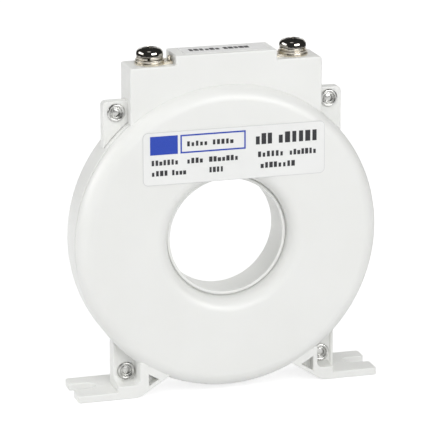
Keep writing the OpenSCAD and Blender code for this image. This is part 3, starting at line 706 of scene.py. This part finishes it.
def rivetTree():
    tree, add, given = newTree("rolledRivets", [
        ("Radius", "Float", 1.0), ("Steps", "Int", 48), ("Top Across", "Float", 30.0),
        ("Top Height", "Float", 80.0), ("Bottom Across", "Float", 30.0), ("Bottom Height", "Float", 7.0),
        ("Dent", "Float", 0.05), ("Seed", "Int", 3)])
    faced = add("GeometryNodeTransform", Geometry=turnSection(add, given), Rotation=faceForward)
    both = add("GeometryNodeJoinGeometry")
    for row in ("Top", "Bottom"):
        across = given[row + " Across"]
        first = add("ShaderNodeCombineXYZ", X=maths(add, "MULTIPLY", across, -1.0), Z=given[row + " Height"])
        step = add("ShaderNodeCombineXYZ", X=maths(add, "MULTIPLY", across, 2.0))
        feed(both, i0=add("GeometryNodeMeshLine", {"mode": "OFFSET"}, Count=2, Start_Location=first,
                          Offset=step))
    turn = add("ShaderNodeCombineXYZ", Y=randomFrom(add, given["Seed"], 0.0, 6.28))
    placed = add("GeometryNodeInstanceOnPoints", Points=both, Instance=faced, Rotation=turn)
    real = add("GeometryNodeRealizeInstances", Geometry=placed)
    # rolling leaves the rims slightly uneven
    uneven = maths(add, "SUBTRACT", add("ShaderNodeTexNoise", Scale=0.9, Detail=1.0), 0.5)
    push = add("ShaderNodeVectorMath", {"operation": "SCALE"}, i0=add("GeometryNodeInputNormal"),
               Scale=maths(add, "MULTIPLY", uneven, given["Dent"]))
    dented = add("GeometryNodeSetPosition", Geometry=real, Offset=push)
    return closeTree(tree, add, given, dented)


rivetRow = grow("rolledRivets", rivetTree(),
                {"Radius": rivetSizes["path"], "Steps": 40, "Top Across": rivets["topX"],
                 "Top Height": ringAxis + rivets["topZ"], "Bottom Across": rivets["bottomX"],
                 "Bottom Height": ringAxis + rivets["bottomZ"], "Dent": 0.06, "Seed": 11},
                sectionObject("rivetSection", rivetSection(rivetSizes), rivetSizes["path"]))
finishPiece(rivetRow, "rolledRivets", "case", rivetNickel,
            ["rivet_top_left", "rivet_top_right", "rivet_bottom_left", "rivet_bottom_right"], 50)
print("rivets made")


# screws, washers, plates and nuts

screwSizes = {"headRadius": 4.0, "headHeight": 2.64, "edge": 2.1, "crown": 9.0, "seat": 3.9,
              "underHead": 0.1, "neck": 2.05, "neckLow": -0.4, "neckHigh": -0.05, "shank": 1.95,
              "core": 1.62, "length": 10.0, "chamfer": 0.5, "pitch": 0.7, "threadStart": 0.8,
              "threadBare": 1.3, "ridgeSink": 0.12, "ridgeFoot": 0.3, "ridgeTop": 0.05, "recess": 4.6,
              "recessWidth": 1.0, "recessDeep": 1.6, "recessLip": 0.5, "recessShare": 0.92,
              "recessFloor": 0.35, "soften": 0.12}
stack = {"platform": ringAxis + block["top"], "plate": 0.8, "washer": 0.7, "washerRadius": 4.3,
         "washerHole": 2.15, "washerEdge": 0.14, "washerFlat": 0.05, "spring": 0.9,
         "springRadius": 3.9, "springHole": 2.1, "springGap": 12.0, "springRise": 0.16,
         "springEdge": 0.1, "springTurn": 30.0, "plateEdge": 0.09, "nutEdge": 0.25}
plateTop = stack["platform"] + stack["plate"]
washerTop = plateTop + stack["washer"]
headSeat = washerTop + stack["spring"]


def sweepTree():
    # a profile swept up a spiral: the ridge of a thread, or a split spring washer
    tree, add, given = newTree("sweptUpSpiral", [
        ("Radius", "Float", 1.0), ("Turns", "Float", 1.0), ("Rise", "Float", 1.0), ("Steps", "Int", 32),
        ("Start", "Vector", None), ("Angle", "Rotation", None)])
    section = add("GeometryNodeMeshToCurve", Mesh=given["Geometry"])
    path = add("GeometryNodeCurveSpiral", Resolution=given["Steps"], Rotations=given["Turns"],
               Start_Radius=given["Radius"], End_Radius=given["Radius"], Height=given["Rise"])
    upright = add("GeometryNodeSetCurveNormal", {"mode": "Z_UP"}, Curve=path)
    skin = add("GeometryNodeCurveToMesh", Curve=upright, Profile_Curve=section, Fill_Caps=True)
    placed = add("GeometryNodeTransform", Geometry=skin, Rotation=given["Angle"],
                 Translation=given["Start"])
    return closeTree(tree, add, given, placed, False)


sweptPieces = sweepTree()


def screwSection(s):
    dome = lambda r: sqrt(s["crown"] ** 2 - r * r) - s["crown"] + s["headHeight"]
    rim = [(x, min(y, dome(x))) for x, y in
           arc(s["headRadius"] - s["edge"], s["headHeight"] - s["edge"], s["edge"], 0, 90, 9)]
    top = [(r, dome(r)) for r in (2.1, 1.6, 1.1, 0.6, 0.0)]
    tip, core, neck, chamfer = -s["length"], s["core"], s["neck"], s["chamfer"]
    return ([(0, tip), (core - chamfer, tip), (core, tip + chamfer), (core, s["neckLow"]),
             (neck, s["neckHigh"]), (neck, 0), (s["seat"], 0), (s["headRadius"], s["underHead"])]
            + rim + top)


def makeScrew(side, name, body, node):
    s = screwSizes
    screw = turned("screw", screwSection(s), standUp, (0, 0, 0), 72)
    high, half, wide, lip = s["headHeight"], s["recess"] / 2, s["recessWidth"] / 2, s["recessLip"]
    share, floor, deep = half * s["recessShare"], half * s["recessFloor"], high - s["recessDeep"]
    for turn in (0, 90):
        arm = prism("recessArm", [(-half, high + lip), (half, high + lip), (share, high - lip),
                                  (floor, deep), (-floor, deep), (-share, high - lip)], -wide, wide)
        arm.data.transform(Matrix.Rotation(radians(turn), 4, "Z"))
        combine(screw, [arm], "DIFFERENCE")
    soften = screw.modifiers.new("soften", "BEVEL")
    soften.width, soften.segments, soften.angle_limit = s["soften"], 3, radians(40)
    applyModifiers(screw)
    depth, sink, foot, crest = s["shank"] - s["core"], s["ridgeSink"], s["ridgeFoot"], s["ridgeTop"]
    ridge = sectionObject("ridge", [(-sink, -foot), (depth, -crest), (depth, crest), (-sink, foot)])
    turns = (s["length"] - s["threadBare"]) / s["pitch"]
    thread = grow("thread", sweptPieces,
                  {"Radius": s["core"], "Turns": turns, "Rise": turns * s["pitch"], "Steps": 28,
                   "Start": (0, 0, -s["length"] + s["threadStart"])}, ridge)
    with editing(screw.data) as bm:
        bm.from_mesh(thread.data)
    drop(thread)
    screw.data.transform(Matrix.Translation((side * terminals["x"], 0, headSeat)))
    return finishPiece(screw, name, body, screwNickel, [node], 40, 0)


def makePlainWasher(side, name, body, node):
    r, t, hole, e = stack["washerRadius"], stack["washer"], stack["washerHole"], stack["washerEdge"]
    section = ([(hole, e), (hole + e, 0), (r - stack["washerFlat"], 0)] + arc(r - e, t - e, e, 0, 90, 4)
               + arc(hole + e, t - e, e, 90, 180, 3))
    washer = turned("washer", section, standUp, (side * terminals["x"], 0, plateTop), 64, 3.0)
    return finishPiece(washer, name, body, washerNickel, [node])


def makeSpringWasher(side, name, body, node):
    r0, r1, rise = stack["springHole"], stack["springRadius"], stack["springRise"]
    middle, half, flat = (r0 + r1) / 2, (r1 - r0) / 2, (stack["spring"] - rise) / 2
    section = roundCorners(rectangle(-half, -flat, half, flat), [stack["springEdge"]] * 4, 3)
    first = stack["springGap"] / 2 - 90 + side * stack["springTurn"]    # -90 is the front
    washer = grow("springWasher", sweptPieces,
                  {"Radius": middle, "Turns": 1 - stack["springGap"] / 360, "Rise": rise, "Steps": 64,
                   "Start": (side * terminals["x"], 0, washerTop + flat),
                   "Angle": (0.0, 0.0, radians(first))}, sectionObject("springSection", section))
    return finishPiece(washer, name, body, washerNickel, [node])


def softCopy(node, name, body, material, width):
    # a CAD node's own shape with its edges broken
    obj = newObject(name, nodes[node].data.copy())
    with editing(obj.data) as bm:
        bmesh.ops.scale(bm, vec=(1 / mm,) * 3, verts=bm.verts)
        bmesh.ops.remove_doubles(bm, verts=bm.verts, dist=0.002)    # CAD meshes are loose triangles
        bmesh.ops.dissolve_limit(bm, angle_limit=radians(1), verts=bm.verts, edges=bm.edges)
        bevelEdges(bm, sharpEdges(bm), width, 2)
    return finishPiece(obj, name, body, material, [node], merge=0)


for label, side in hands.items():
    title = label.capitalize()
    makeScrew(side, "screw" + title, "screw_" + label, "terminal_screw_" + label)
    makePlainWasher(side, "plainWasher" + title, "washers_" + label, "plain_washer_" + label)
    makeSpringWasher(side, "springWasher" + title, "washers_" + label, "spring_washer_" + label)
    softCopy("terminal_plate_" + label, "terminalPlate" + title, "case", plateBrass,
             stack["plateEdge"])
    softCopy("terminal_nut_" + label, "squareNut" + title, "case", screwNickel,
             stack["nutEdge"])
print("terminals made")


# core, winding and leads inside the case

windingSizes = {"turns": 148, "middle": 31.925, "width": 20.45, "height": 13.2, "wire": 0.42,
                "corner": 1.7, "stray": 0.006}
leadSizes = {"radius": 0.8, "x": 9.0, "startZ": 89.6, "runZ": 95.25, "endZ": 95.5, "endX": 14.85,
             "bend": 1.2}


def windingTree():
    # one loop of wire set round the ring at nearly even angles
    tree, add, given = newTree("toroidWinding", [
        ("Turns", "Int", 100), ("Middle", "Float", 30.0), ("Width", "Float", 20.0),
        ("Height", "Float", 13.0), ("Wire", "Float", 0.4), ("Corner", "Float", 1.5),
        ("Axis Height", "Float", 47.5), ("Seed", "Int", 5)])
    loop = add("GeometryNodeCurvePrimitiveQuadrilateral", {"mode": "RECTANGLE"},
               Width=given["Width"], Height=given["Height"])
    skin = wireAlong(add, loop, given["Corner"], 4, given["Wire"], 6)
    # the loop stands in X and Z, its middle out on the ring's mean radius
    stood = add("GeometryNodeTransform", Geometry=skin, Rotation=(radians(90), 0, 0))
    points = add("GeometryNodeMeshCircle", {"fill_type": "NONE"}, Vertices=given["Turns"],
                 Radius=given["Middle"])
    share = maths(add, "DIVIDE", add("GeometryNodeInputIndex"), given["Turns"])
    angle = maths(add, "ADD", maths(add, "MULTIPLY", share, 2 * pi),
                  randomFrom(add, given["Seed"], -windingSizes["stray"], windingSizes["stray"]))
    placed = add("GeometryNodeInstanceOnPoints", Points=points, Instance=stood,
                 Rotation=add("ShaderNodeCombineXYZ", Z=angle))
    faced = add("GeometryNodeTransform", Geometry=placed, Rotation=faceForward,
                Translation=add("ShaderNodeCombineXYZ", Z=given["Axis Height"]))
    return closeTree(tree, add, given, faced)


w = windingSizes
winding = grow("wireTurns", windingTree(),
               {"Turns": w["turns"], "Middle": w["middle"], "Width": w["width"] - 2 * w["wire"],
                "Height": w["height"] - 2 * w["wire"], "Wire": w["wire"], "Corner": w["corner"],
                "Axis Height": ringAxis, "Seed": 5})
finishPiece(winding, "wireTurns", "case", copperWire, ["secondary_winding"], 60, 0)


def leadTree():
    # a line of points with its bends rounded, made a wire
    tree, add, given = newTree("leadWire", [("Bend", "Float", 1.5), ("Wire", "Float", 0.8)])
    line = add("GeometryNodeMeshToCurve", Mesh=given["Geometry"])
    return closeTree(tree, add, given, wireAlong(add, line, given["Bend"], 6, given["Wire"], 14, True))


leads = leadTree()
for label, side in hands.items():
    n = leadSizes
    points = [(side * x, 0, z) for x, z in ((n["x"], n["startZ"]), (n["x"], n["runZ"]),
                                            (n["endX"], n["runZ"]), (n["endX"], n["endZ"]))]
    line = newMesh("leadLine", points, [(0, 1), (1, 2), (2, 3)])
    lead = grow("lead", leads, {"Bend": n["bend"], "Wire": n["radius"]}, line)
    finishPiece(lead, "lead" + label.capitalize(), "case", leadRed, ["lead_" + label], 50)
print("core, winding and leads made")


# printed rows: every word is a line of small blocks, as wide as characters and as tall as the row

labelPrint = {"left": -26.9, "bottom": 65.9, "back": -9.65, "thick": 0.05, "seed": 8, "fill": 0.66,
              "rows": [(11.2, 1.5, 1.25, [(13.2, 6.6), (21, 6.8)]),
                       (6.0, 1.6, 1.25, [(2.4, 8.4), (13.2, 5.2), (20, 9.2)]),
                       (2.8, 1.6, 1.25, [(2.4, 5.2), (8.6, 4.6), (20, 4.6)]),
                       (10.2, 3.3, 2.1, [(34.2, 5.6), (41.2, 12.6)]),
                       (6.3, 1.7, 1.3, [(35, 8.2), (44.8, 8.6)]),
                       (2.9, 1.7, 1.3, [(35.8, 11)])]}
topPrint = {"left": -10.3, "back": -1.2, "deep": 2.4, "height": 103.65, "thick": 0.05, "seed": 4,
            "pitch": 1.62, "fill": 0.74, "words": [(0, 9.7), (10.6, 8.1)]}


def blockTree():
    # a box on every point, stretched to the point's own size
    tree, add, given = newTree("printBlocks", [])
    size = add("GeometryNodeInputNamedAttribute", {"data_type": "FLOAT_VECTOR"}, Name="blockSize")
    placed = add("GeometryNodeInstanceOnPoints", Points=given["Geometry"],
                 Instance=add("GeometryNodeMeshCube", Size=(1, 1, 1)), Scale=size)
    return closeTree(tree, add, given, placed, False)


blocksOf = blockTree()
blockShares = {"width": (0.8, 1.2), "height": (1.0, 1.0, 0.74)}    # drawn from for each block


def printPiece(name, blocks, replaced):
    # blocks are pairs of middle and size
    points = newMesh(name, [middle for middle, _ in blocks])
    sizes = points.data.attributes.new("blockSize", "FLOAT_VECTOR", "POINT")
    sizes.data.foreach_set("vector", [n for _, size in blocks for n in size])
    return finishPiece(grow(name, blocksOf, {}, points), name, "case", darkInk, [replaced], 0, 0)


def rowBlocks(words, pitch, fill, chance):
    # place, width and share of the row's height of every block in a row of words
    for start, length in words:
        count = max(2, round(length / pitch))
        step = length / count
        for i in range(count):
            wide = step * fill * chance.uniform(*blockShares["width"])
            yield start + step * (i + 0.5), wide, chance.choice(blockShares["height"])


chance, g = random.Random(labelPrint["seed"]), labelPrint
printPiece("labelPrint", [
    ((g["left"] + x, g["back"] - g["thick"] / 2, g["bottom"] + low + tall * part / 2),
     (wide, g["thick"], tall * part))
    for low, tall, pitch, words in g["rows"]
    for x, wide, part in rowBlocks(words, pitch, g["fill"], chance)], "label_dark_print")
chance, g = random.Random(topPrint["seed"]), topPrint
printPiece("topPrint", [
    ((g["left"] + x, g["back"] + g["deep"] * part / 2, g["height"] + g["thick"] / 2),
     (wide, g["deep"] * part, g["thick"]))
    for x, wide, part in rowBlocks(g["words"], g["pitch"], g["fill"], chance)], "block_label_print")


# the rating label: a film with round corners, ringed by a thin grey line that is painted shadow along the
# film's edge

film = {"middle": (1.1, 73.9), "width": 56.0, "height": 16.0, "corner": 1.6, "near": 9.5,
        "thick": 0.15, "edge": 0.16}


def filmLoop(inset):
    w, h = film["width"] / 2 - inset, film["height"] / 2 - inset
    x, z = film["middle"]
    return roundCorners(rectangle(x - w, z - h, x + w, z + h), [film["corner"] - inset] * 4, 8)


near, face = film["near"], film["near"] + film["thick"]
sheet = prism("ratingFilm", filmLoop(film["edge"]), near, face)
finishPiece(sheet, "ratingFilm", "case", whiteFilm, ["rating_label"])
# a thin grey ring round the film, painted shadow of the film's edge
edgeShadowLine = prism("filmEdgeShadow", filmLoop(0.0), near, face)
combine(edgeShadowLine, [prism("inner", filmLoop(film["edge"]), near - lap, near + lap)], "DIFFERENCE")
finishPiece(edgeShadowLine, "filmEdgeShadow", "case", filmEdgeShadow)
print("labels and print made")


# carried-over CAD nodes get their finishes

finishes = {"block_label": clearFilm, "label_blue_print": blueInk, "strip_core": coreSteel,
            "core_wrap": wrapTape, "outer_tape": outerTape}
for name, material in finishes.items():
    mesh = nodes[name].data
    mesh.materials.clear()
    mesh.materials.append(material)
print("finishes set on", len(finishes), "nodes")


# floor, light and camera

def bareTree(owner):
    # empties the node tree of a material or a world
    owner.use_nodes = True
    owner.node_tree.nodes.clear()
    return adder(owner.node_tree)


def mixByRay(add, seen, hidden):
    # the first shader for camera, glossy and transmission rays, the second for the rest
    rays = add("ShaderNodeLightPath").outputs
    either = maths(add, "MAXIMUM", rays["Is Camera Ray"], rays["Is Glossy Ray"])
    return add("ShaderNodeMixShader", i0=maths(add, "MAXIMUM", either, rays["Is Transmission Ray"]),
               i1=hidden, i2=seen)


studio = {"ambient": 0.41, "floorHalf": 6.0, "floorColour": (0.84, 0.84, 0.85), "floorGlow": 0.78,
          "floorSeen": 0.4, "domeRadius": 3.0, "domeShade": 0.035, "domeGap": 24.0, "domeOpen": 30.0,
          "domeLean": 0.28, "apronStart": 0.5, "apronHeight": 0.002, "cardDistance": 1.6,
          "lampAim": (0, 0, 0.05)}
# soft lamps: place, size and power
lamps = {"keyLamp": ((-0.1, -0.9, 0.95), 0.9, 6.6), "frontLamp": ((0.3, -1.15, 0.3), 0.9, 3.15),
         "sideLamp": ((-1.25, 0.12, 0.6), 0.8, 6.1), "backLamp": ((0.65, 1.1, 0.7), 0.9, 3.2)}
# bright cards that only reflections see: bearing from the front, height angle, width, height and
# strength
cards = {"cardLeft": (-100.0, 22.0, 1.5, 0.55, 3.0), "cardRight": (24.0, 24.0, 1.2, 0.6, 7.0),
         "cardAbove": (-30.0, 76.0, 0.5, 0.4, 1.2)}


def flatSheet(name, halfWidth, halfHeight):
    points = [(x, y, 0) for x, y in rectangle(-halfWidth, -halfHeight, halfWidth, halfHeight)]
    return newMesh(name, points, [], [(0, 1, 2, 3)])


def makeFloor():
    floor = flatSheet("studioFloor", studio["floorHalf"], studio["floorHalf"])
    paper = bpy.data.materials.new("floorPaper")
    add = bareTree(paper)
    plain = add("ShaderNodeBsdfDiffuse", Color=(*studio["floorColour"], 1))
    soft = add("ShaderNodeBsdfDiffuse", Color=(studio["floorSeen"],) * 3 + (1,))
    seen = add("ShaderNodeAddShader", i0=soft, i1=add("ShaderNodeEmission", Strength=studio["floorGlow"]))
    add("ShaderNodeOutputMaterial", Surface=mixByRay(add, seen, plain))
    floor.data.materials.append(paper)


def makeWorld():
    scene.world = bpy.data.worlds.new("studio")
    add = bareTree(scene.world)
    white = add("ShaderNodeBackground", Color=(1, 1, 1, 1))
    ambient = add("ShaderNodeBackground", Color=(1, 1, 1, 1), Strength=studio["ambient"])
    add("ShaderNodeOutputWorld", Surface=mixByRay(add, white, ambient))


def glossyOnly(obj, strength):
    # makes a stage surface that only reflections see
    glowing = bpy.data.materials.new(obj.name)
    add = bareTree(glowing)
    add("ShaderNodeOutputMaterial", Surface=add("ShaderNodeEmission", Strength=strength))
    obj.data.materials.append(glowing)
    obj.visible_camera = obj.visible_diffuse = obj.visible_transmission = obj.visible_shadow = False


def makeDome():
    # a dark half dome for the metals to mirror, open low down behind the object
    r, lean = studio["domeRadius"], studio["domeLean"]
    bm = bmesh.new()
    bmesh.ops.create_uvsphere(bm, u_segments=36, v_segments=18, radius=r)
    outside = []
    for face in bm.faces:
        c = face.calc_center_median()
        height = degrees(atan2(c.z, sqrt(c.x ** 2 + c.y ** 2)))
        behind = abs(degrees(atan2(c.x - lean * c.y, c.y + lean * c.x))) < studio["domeOpen"]
        if height < 0 or (behind and height < studio["domeGap"]):
            outside.append(face)
    bmesh.ops.delete(bm, geom=outside, context="FACES")
    glossyOnly(objectFromBmesh("darkDome", bm), studio["domeShade"])
    # and a dark ring on the floor, away from the object
    bm = bmesh.new()
    bmesh.ops.create_circle(bm, segments=48, radius=r)
    bmesh.ops.create_circle(bm, segments=48, radius=studio["apronStart"])
    bmesh.ops.bridge_loops(bm, edges=bm.edges)
    bmesh.ops.translate(bm, verts=bm.verts, vec=(0, 0, studio["apronHeight"]))
    glossyOnly(objectFromBmesh("darkApron", bm), studio["domeShade"])


def addCard(name, bearing, height, across, tall, strength):
    card = flatSheet(name, across / 2, tall / 2)
    a, e = radians(bearing), radians(height)
    place = Vector((sin(a) * cos(e), -cos(a) * cos(e), sin(e))) * studio["cardDistance"]
    turn = (-place).to_track_quat("Z", "Y").to_matrix().to_4x4()
    card.data.transform(Matrix.Translation(place) @ turn)
    glossyOnly(card, strength)


def addLamp(name, place, size, power):
    data = bpy.data.lights.new(name, "AREA")
    data.shape, data.size, data.energy = "SQUARE", size, power
    lamp = newObject(name, data)
    lamp.location = place
    lamp.visible_glossy = False
    aim = Vector(studio["lampAim"]) - Vector(place)
    lamp.rotation_euler = aim.to_track_quat("-Z", "Y").to_euler()


cameraView = {"place": (-0.23079, -0.78089, 0.27943), "right": (0.95900, -0.28340, -0.00253),
              "up": (0.07889, 0.25835, 0.96283), "forward": (0.27222, 0.92355, -0.27011),
              "sensor": 36.0, "lens": 230.5}


def makeCamera(v):
    data = bpy.data.cameras.new("camera")
    data.sensor_width, data.lens = v["sensor"], v["lens"]
    data.clip_start, data.clip_end = 0.05, 50
    camera = newObject("camera", data)
    turn = Matrix((v["right"], v["up"], [-c for c in v["forward"]])).transposed()
    camera.matrix_world = Matrix.Translation(v["place"]) @ turn.to_4x4()
    scene.camera = camera


makeFloor()
makeWorld()
makeDome()
for name, values in cards.items():
    addCard(name, *values)
for name, values in lamps.items():
    addLamp(name, *values)
makeCamera(cameraView)
scene.view_settings.view_transform = "Standard"
print("stage set")
